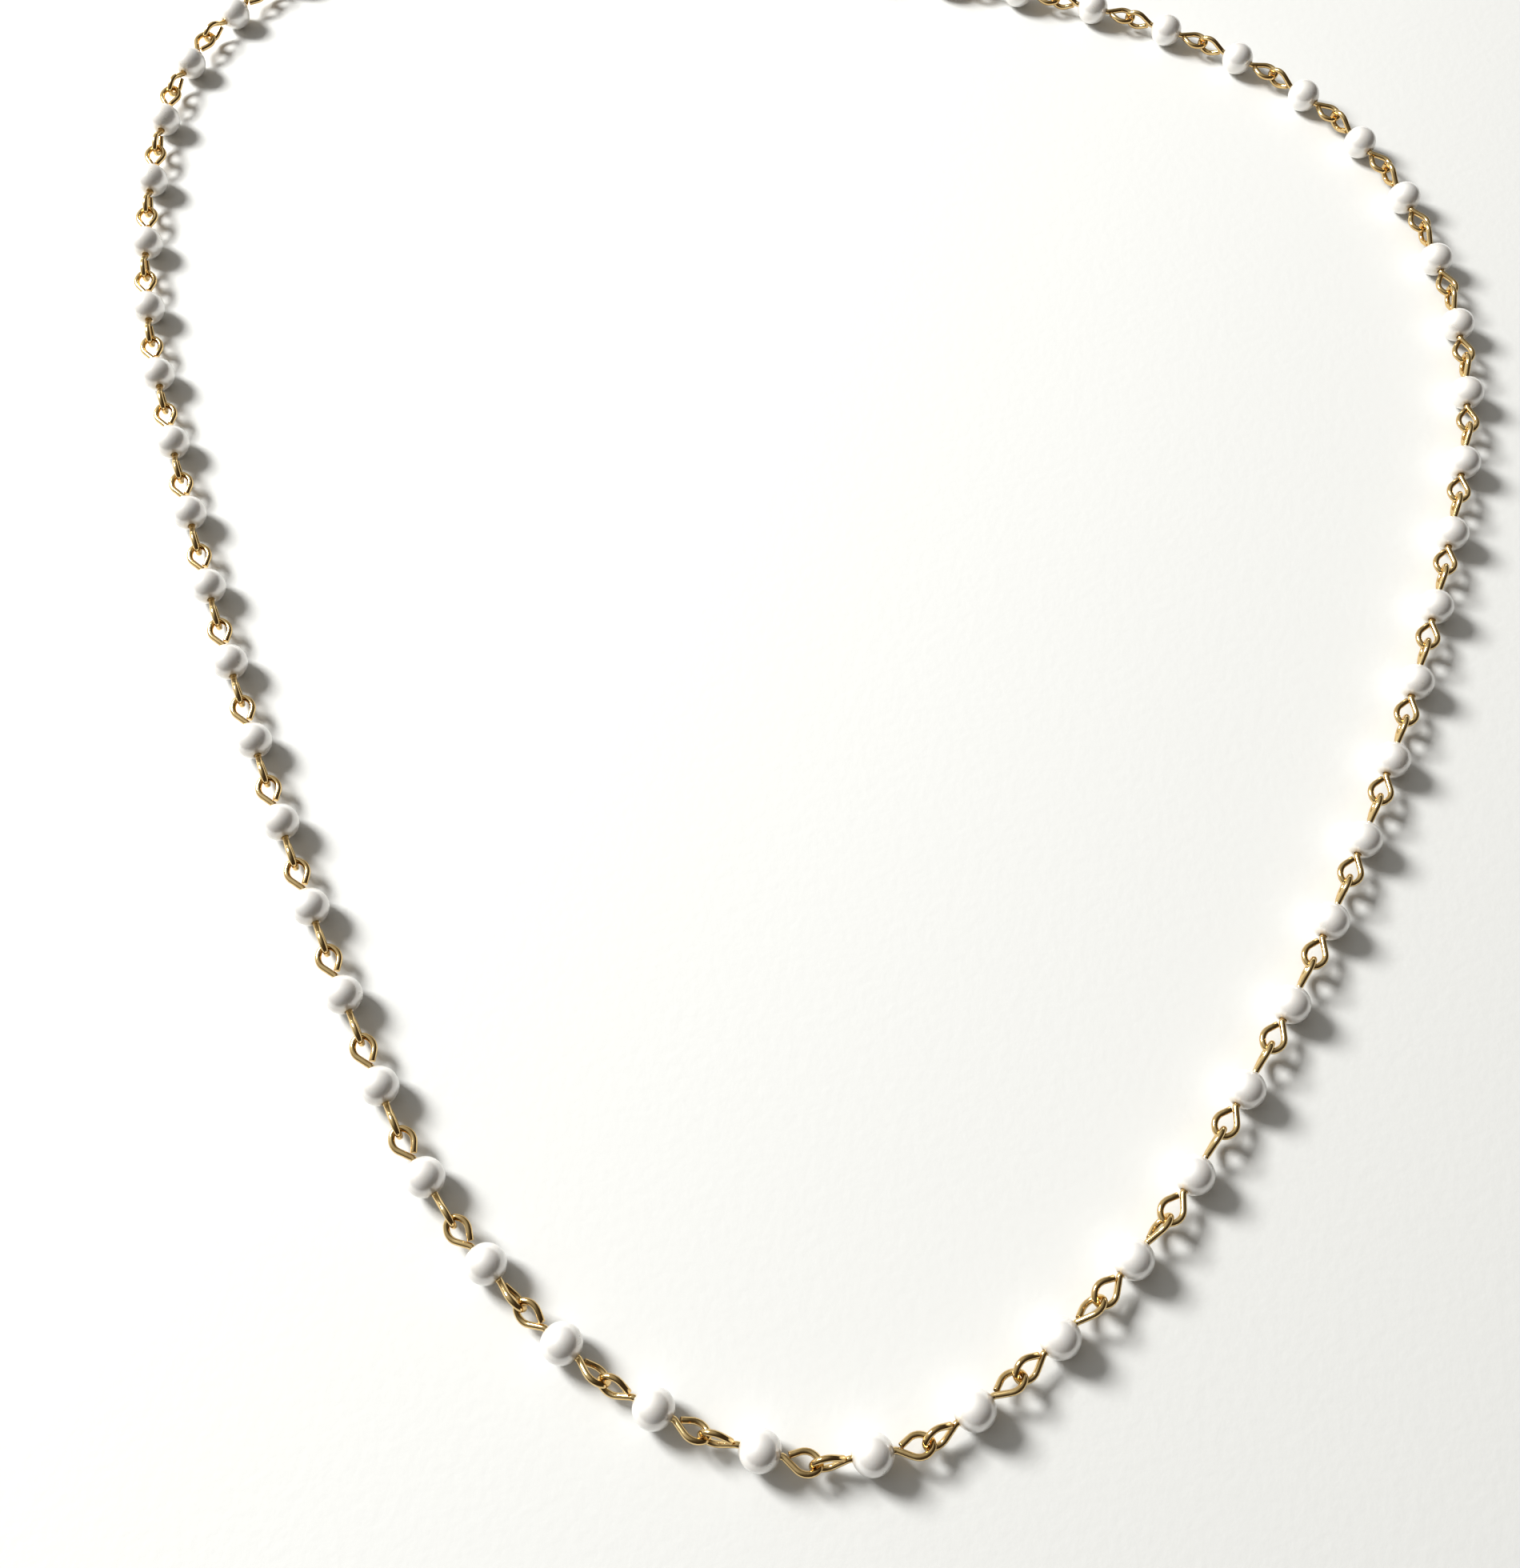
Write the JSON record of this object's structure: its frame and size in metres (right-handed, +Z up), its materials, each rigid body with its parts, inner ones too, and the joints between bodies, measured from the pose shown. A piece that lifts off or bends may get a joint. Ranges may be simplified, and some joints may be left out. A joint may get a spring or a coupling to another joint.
{
  "type": "pearl necklace",
  "caption": "Strand of small white pearls on gold-tone wire links whose eyes hook together, with a spring ring clasp and an end ring, worn round the neck.",
  "frame": {"origin": "middle of the necklace's box as it lies unfastened on a surface, at the height of that surface", "axes": "+Z up from the surface; +Y from the front of the necklace towards the clasp; +X to the right as seen from above with the front nearest"},
  "size_m": [0.173, 0.1944, 0.004],
  "materials": {
    "pearl": "gloss",
    "gold_tone": "polished",
    "spring_steel": "satin"
  },
  "bodies": {
    "link_01": {"link_01": "pearl"},
    "link_02": {"link_02": "pearl"},
    "link_03": {"link_03": "pearl"},
    "link_04": {"link_04": "pearl"},
    "link_05": {"link_05": "pearl"},
    "link_06": {"link_06": "pearl"},
    "link_07": {"link_07": "pearl"},
    "link_08": {"link_08": "pearl"},
    "link_09": {"link_09": "pearl"},
    "link_10": {"link_10": "pearl"},
    "link_11": {"link_11": "pearl"},
    "link_12": {"link_12": "pearl"},
    "link_13": {"link_13": "pearl"},
    "link_14": {"link_14": "pearl"},
    "link_15": {"link_15": "pearl"},
    "link_16": {"link_16": "pearl"},
    "link_17": {"link_17": "pearl"},
    "link_18": {"link_18": "pearl"},
    "link_19": {"link_19": "pearl"},
    "link_20": {"link_20": "pearl"},
    "link_21": {"link_21": "pearl"},
    "link_22": {"link_22": "pearl"},
    "link_23": {"link_23": "pearl"},
    "link_24": {"link_24": "pearl"},
    "link_25": {"link_25": "pearl"},
    "link_26": {"link_26": "pearl"},
    "link_27": {"link_27": "pearl"},
    "link_28": {"link_28": "pearl"},
    "link_29": {"link_29": "pearl"},
    "link_30": {"link_30": "pearl"},
    "link_31": {"link_31": "pearl"},
    "link_32": {"link_32": "pearl"},
    "link_33": {"link_33": "pearl"},
    "link_34": {"link_34": "pearl"},
    "link_35": {"link_35": "pearl"},
    "link_36": {"link_36": "pearl"},
    "link_37": {"link_37": "pearl"},
    "link_38": {"link_38": "pearl"},
    "link_39": {"link_39": "pearl"},
    "link_40": {"link_40": "pearl"},
    "link_41": {"link_41": "pearl"},
    "link_42": {"link_42": "pearl"},
    "link_43": {"link_43": "pearl"},
    "link_44": {"link_44": "pearl"},
    "link_45": {"link_45": "pearl"},
    "link_46": {"link_46": "pearl"},
    "link_47": {"link_47": "pearl"},
    "link_48": {"link_48": "pearl"},
    "link_49": {"link_49": "pearl"},
    "link_50": {"link_50": "pearl"},
    "link_51": {"link_51": "pearl"},
    "link_52": {"link_52": "pearl"},
    "link_53": {"link_53": "pearl"},
    "clasp_jump_ring": {"clasp_jump_ring": "gold_tone"},
    "clasp_ring": {"clasp_ring": "gold_tone", "clasp_spring": "spring_steel"},
    "clasp_bolt": {"clasp_bolt": "gold_tone"},
    "end_ring": {"end_ring": "gold_tone"}
  },
  "joints": [
    {"name": "link_26_swing", "type": "hinge", "parent": "link_27", "child": "link_26", "pos_m": [0.02461, -0.09521, 0.002], "axis": [0, 0.309, 0.9511], "range_deg": [0, 90]},
    {"name": "link_25_swing", "type": "hinge", "parent": "link_26", "child": "link_25", "pos_m": [0.01508, -0.09302, 0.002], "axis": [0.2577, 0.5283, -0.809], "range_deg": [-90, 90]},
    {"name": "link_24_swing", "type": "hinge", "parent": "link_25", "child": "link_24", "pos_m": [0.00566, -0.08847, 0.002], "axis": [-0.1728, -0.2562, 0.9511], "range_deg": [0, 90]},
    {"name": "link_23_lift", "type": "hinge", "parent": "link_24", "child": "link_23", "pos_m": [-0.0036, -0.08223, 0.002], "axis": [0.5318, 0.7885, 0.309], "range_deg": [-90, 90]},
    {"name": "link_22_swing", "type": "hinge", "parent": "link_23", "child": "link_22", "pos_m": [-0.01085, -0.0757, 0.002], "axis": [0, 0, -1], "range_deg": [-90, 0]},
    {"name": "link_21_lift", "type": "hinge", "parent": "link_22", "child": "link_21", "pos_m": [-0.01803, -0.06715, 0.002], "axis": [-0.766, -0.6428, 0], "range_deg": [-90, 90]},
    {"name": "link_20_swing", "type": "hinge", "parent": "link_21", "child": "link_20", "pos_m": [-0.02417, -0.05956, 0.002], "axis": [0, 0, 1], "range_deg": [0, 90]},
    {"name": "link_19_lift", "type": "hinge", "parent": "link_20", "child": "link_19", "pos_m": [-0.03104, -0.05077, 0.002], "axis": [0.788, 0.6157, 0], "range_deg": [-90, 90]},
    {"name": "link_18_swing", "type": "hinge", "parent": "link_19", "child": "link_18", "pos_m": [-0.03691, -0.04297, 0.002], "axis": [0, 0, -1], "range_deg": [-90, 0]},
    {"name": "link_17_lift", "type": "hinge", "parent": "link_18", "child": "link_17", "pos_m": [-0.04347, -0.03394, 0.002], "axis": [-0.809, -0.5878, 0], "range_deg": [-90, 90]},
    {"name": "link_16_swing", "type": "hinge", "parent": "link_17", "child": "link_16", "pos_m": [-0.04907, -0.02595, 0.002], "axis": [0, 0, 1], "range_deg": [0, 90]},
    {"name": "link_15_lift", "type": "hinge", "parent": "link_16", "child": "link_15", "pos_m": [-0.05531, -0.0167, 0.002], "axis": [-0.829, -0.5592, 0], "range_deg": [-90, 90]},
    {"name": "link_14_swing", "type": "hinge", "parent": "link_15", "child": "link_14", "pos_m": [-0.06063, -0.00851, 0.002], "axis": [0, 0, 1], "range_deg": [0, 90]},
    {"name": "link_13_lift", "type": "hinge", "parent": "link_14", "child": "link_13", "pos_m": [-0.06654, 0.00095, 0.002], "axis": [0.848, 0.5299, 0], "range_deg": [-90, 90]},
    {"name": "link_12_swing", "type": "hinge", "parent": "link_13", "child": "link_12", "pos_m": [-0.07159, 0.00931, 0.002], "axis": [0, 0, 1], "range_deg": [-90, 90]},
    {"name": "link_11_lift", "type": "hinge", "parent": "link_12", "child": "link_11", "pos_m": [-0.07648, 0.01934, 0.002], "axis": [-0.8988, -0.4384, 0], "range_deg": [-90, 90]},
    {"name": "link_10_swing", "type": "hinge", "parent": "link_11", "child": "link_10", "pos_m": [-0.07998, 0.02845, 0.002], "axis": [0, 0, -1], "range_deg": [-90, 90]},
    {"name": "link_09_lift", "type": "hinge", "parent": "link_10", "child": "link_09", "pos_m": [-0.08306, 0.03918, 0.002], "axis": [0.9613, 0.2756, 0], "range_deg": [-90, 90]},
    {"name": "link_08_swing", "type": "hinge", "parent": "link_09", "child": "link_08", "pos_m": [-0.08499, 0.04876, 0.002], "axis": [0, 0, 1], "range_deg": [-80, 90]},
    {"name": "link_07_lift", "type": "hinge", "parent": "link_08", "child": "link_07", "pos_m": [-0.08402, 0.05988, 0.002], "axis": [-0.9962, 0.0872, 0], "range_deg": [-90, 90]},
    {"name": "link_06_swing", "type": "hinge", "parent": "link_07", "child": "link_06", "pos_m": [-0.08051, 0.06902, 0.002], "axis": [0, 0, -1], "range_deg": [-90, 90]},
    {"name": "link_05_lift", "type": "hinge", "parent": "link_06", "child": "link_05", "pos_m": [-0.07379, 0.07793, 0.002], "axis": [0.7986, -0.6018, 0], "range_deg": [-90, 90]},
    {"name": "link_04_swing", "type": "hinge", "parent": "link_05", "child": "link_04", "pos_m": [-0.06567, 0.08341, 0.002], "axis": [0, 0, 1], "range_deg": [-90, 90]},
    {"name": "link_03_lift", "type": "hinge", "parent": "link_04", "child": "link_03", "pos_m": [-0.05489, 0.0863, 0.002], "axis": [-0.2588, 0.9659, 0], "range_deg": [-90, 90]},
    {"name": "link_02_swing", "type": "hinge", "parent": "link_03", "child": "link_02", "pos_m": [-0.04536, 0.08841, 0.002], "axis": [0, 0, -1], "range_deg": [-90, 90]},
    {"name": "link_01_lift", "type": "hinge", "parent": "link_02", "child": "link_01", "pos_m": [-0.03437, 0.09035, 0.002], "axis": [0.1736, -0.9848, 0], "range_deg": [-90, 90]},
    {"name": "clasp_jump_ring_swing", "type": "hinge", "parent": "link_01", "child": "clasp_jump_ring", "pos_m": [-0.02469, 0.09161, 0.002], "axis": [0, 0, 1], "range_deg": [-80, 80]},
    {"name": "clasp_ring_lift", "type": "hinge", "parent": "clasp_jump_ring", "child": "clasp_ring", "pos_m": [-0.02268, 0.09187, 0.002], "axis": [-0.1305, 0.9914, 0], "range_deg": [-60, 55]},
    {"name": "link_28_swing", "type": "hinge", "parent": "link_27", "child": "link_28", "pos_m": [0.0351, -0.09536, 0.002], "axis": [0.1257, -0.2823, -0.9511], "range_deg": [0, 90]},
    {"name": "link_29_lift", "type": "hinge", "parent": "link_28", "child": "link_29", "pos_m": [0.04529, -0.09082, 0.002], "axis": [0.3868, -0.8688, 0.309], "range_deg": [-90, 0]},
    {"name": "link_30_lift", "type": "hinge", "parent": "link_29", "child": "link_30", "pos_m": [0.05221, -0.08293, 0.002], "axis": [0.6012, -0.5413, 0.5878], "range_deg": [-90, 90]},
    {"name": "link_31_lift", "type": "hinge", "parent": "link_30", "child": "link_31", "pos_m": [0.05788, -0.07498, 0.002], "axis": [-0.8318, 0.4611, 0.309], "range_deg": [-90, 90]},
    {"name": "link_32_swing", "type": "hinge", "parent": "link_31", "child": "link_32", "pos_m": [0.06329, -0.06522, 0.002], "axis": [-0.2703, 0.1498, -0.9511], "range_deg": [-90, 90]},
    {"name": "link_33_lift", "type": "hinge", "parent": "link_32", "child": "link_33", "pos_m": [0.067, -0.05619, 0.002], "axis": [0.9397, -0.342, 0], "range_deg": [-90, 90]},
    {"name": "link_34_swing", "type": "hinge", "parent": "link_33", "child": "link_34", "pos_m": [0.07082, -0.0457, 0.002], "axis": [0, 0, 1], "range_deg": [-90, 25]},
    {"name": "link_35_lift", "type": "hinge", "parent": "link_34", "child": "link_35", "pos_m": [0.07375, -0.03639, 0.002], "axis": [-0.9659, 0.2588, 0], "range_deg": [-90, 90]},
    {"name": "link_36_swing", "type": "hinge", "parent": "link_35", "child": "link_36", "pos_m": [0.07664, -0.02561, 0.002], "axis": [0, 0, -1], "range_deg": [-30, 90]},
    {"name": "link_37_lift", "type": "hinge", "parent": "link_36", "child": "link_37", "pos_m": [0.07875, -0.01608, 0.002], "axis": [0.9833, -0.1822, 0], "range_deg": [-90, 90]},
    {"name": "link_38_swing", "type": "hinge", "parent": "link_37", "child": "link_38", "pos_m": [0.08079, -0.00511, 0.002], "axis": [0, 0, 1], "range_deg": [-90, 40]},
    {"name": "link_39_lift", "type": "hinge", "parent": "link_38", "child": "link_39", "pos_m": [0.08223, 0.00454, 0.002], "axis": [-0.9936, 0.1132, 0], "range_deg": [-90, 90]},
    {"name": "link_40_swing", "type": "hinge", "parent": "link_39", "child": "link_40", "pos_m": [0.08349, 0.01563, 0.002], "axis": [0, 0, -1], "range_deg": [-90, 90]},
    {"name": "link_41_lift", "type": "hinge", "parent": "link_40", "child": "link_41", "pos_m": [0.08426, 0.02536, 0.002], "axis": [0.999, -0.0436, 0], "range_deg": [-90, 90]},
    {"name": "link_42_swing", "type": "hinge", "parent": "link_41", "child": "link_42", "pos_m": [0.08474, 0.03651, 0.002], "axis": [0, 0, 1], "range_deg": [-90, 90]},
    {"name": "link_43_lift", "type": "hinge", "parent": "link_42", "child": "link_43", "pos_m": [0.08372, 0.04623, 0.002], "axis": [-0.9681, -0.2504, 0], "range_deg": [-90, 90]},
    {"name": "link_44_swing", "type": "hinge", "parent": "link_43", "child": "link_44", "pos_m": [0.08093, 0.05703, 0.002], "axis": [0, 0, -1], "range_deg": [-90, 90]},
    {"name": "link_45_lift", "type": "hinge", "parent": "link_44", "child": "link_45", "pos_m": [0.07711, 0.06602, 0.002], "axis": [0.8526, 0.5225, 0], "range_deg": [-90, 90]},
    {"name": "link_46_swing", "type": "hinge", "parent": "link_45", "child": "link_46", "pos_m": [0.07128, 0.07554, 0.002], "axis": [0, 0, 1], "range_deg": [-90, 90]},
    {"name": "link_47_lift", "type": "hinge", "parent": "link_46", "child": "link_47", "pos_m": [0.06443, 0.08251, 0.002], "axis": [-0.5373, -0.8434, 0], "range_deg": [-90, 90]},
    {"name": "link_48_swing", "type": "hinge", "parent": "link_47", "child": "link_48", "pos_m": [0.05502, 0.08851, 0.002], "axis": [0, 0, -1], "range_deg": [-90, 90]},
    {"name": "link_49_lift", "type": "hinge", "parent": "link_48", "child": "link_49", "pos_m": [0.04579, 0.09174, 0.002], "axis": [0.2164, 0.9763, 0], "range_deg": [-90, 90]},
    {"name": "link_50_swing", "type": "hinge", "parent": "link_49", "child": "link_50", "pos_m": [0.0349, 0.09415, 0.002], "axis": [0, 0, 1], "range_deg": [-90, 90]},
    {"name": "link_51_lift", "type": "hinge", "parent": "link_50", "child": "link_51", "pos_m": [0.02518, 0.09507, 0.002], "axis": [-0.0262, -0.9997, 0], "range_deg": [-90, 90]},
    {"name": "link_52_swing", "type": "hinge", "parent": "link_51", "child": "link_52", "pos_m": [0.01402, 0.09536, 0.002], "axis": [0, 0, -1], "range_deg": [-90, 90]},
    {"name": "link_53_lift", "type": "hinge", "parent": "link_52", "child": "link_53", "pos_m": [0.00427, 0.09493, 0.002], "axis": [-0.1132, 0.9936, 0], "range_deg": [-90, 90]},
    {"name": "end_ring_lift", "type": "hinge", "parent": "link_53", "child": "end_ring", "pos_m": [-0.00605, 0.09376, 0.002], "axis": [0.1132, -0.9936, 0], "range_deg": [-90, 90]},
    {"name": "clasp_bolt_slide", "type": "hinge", "parent": "clasp_ring", "child": "clasp_bolt", "pos_m": [-0.01764, 0.09253, 0.00121], "axis": [0.1517, 0.02, 0.9882], "range_deg": [0, 50], "stiffness_Nm_per_rad": 0.001, "deforming": ["clasp_spring"]}
  ]
}
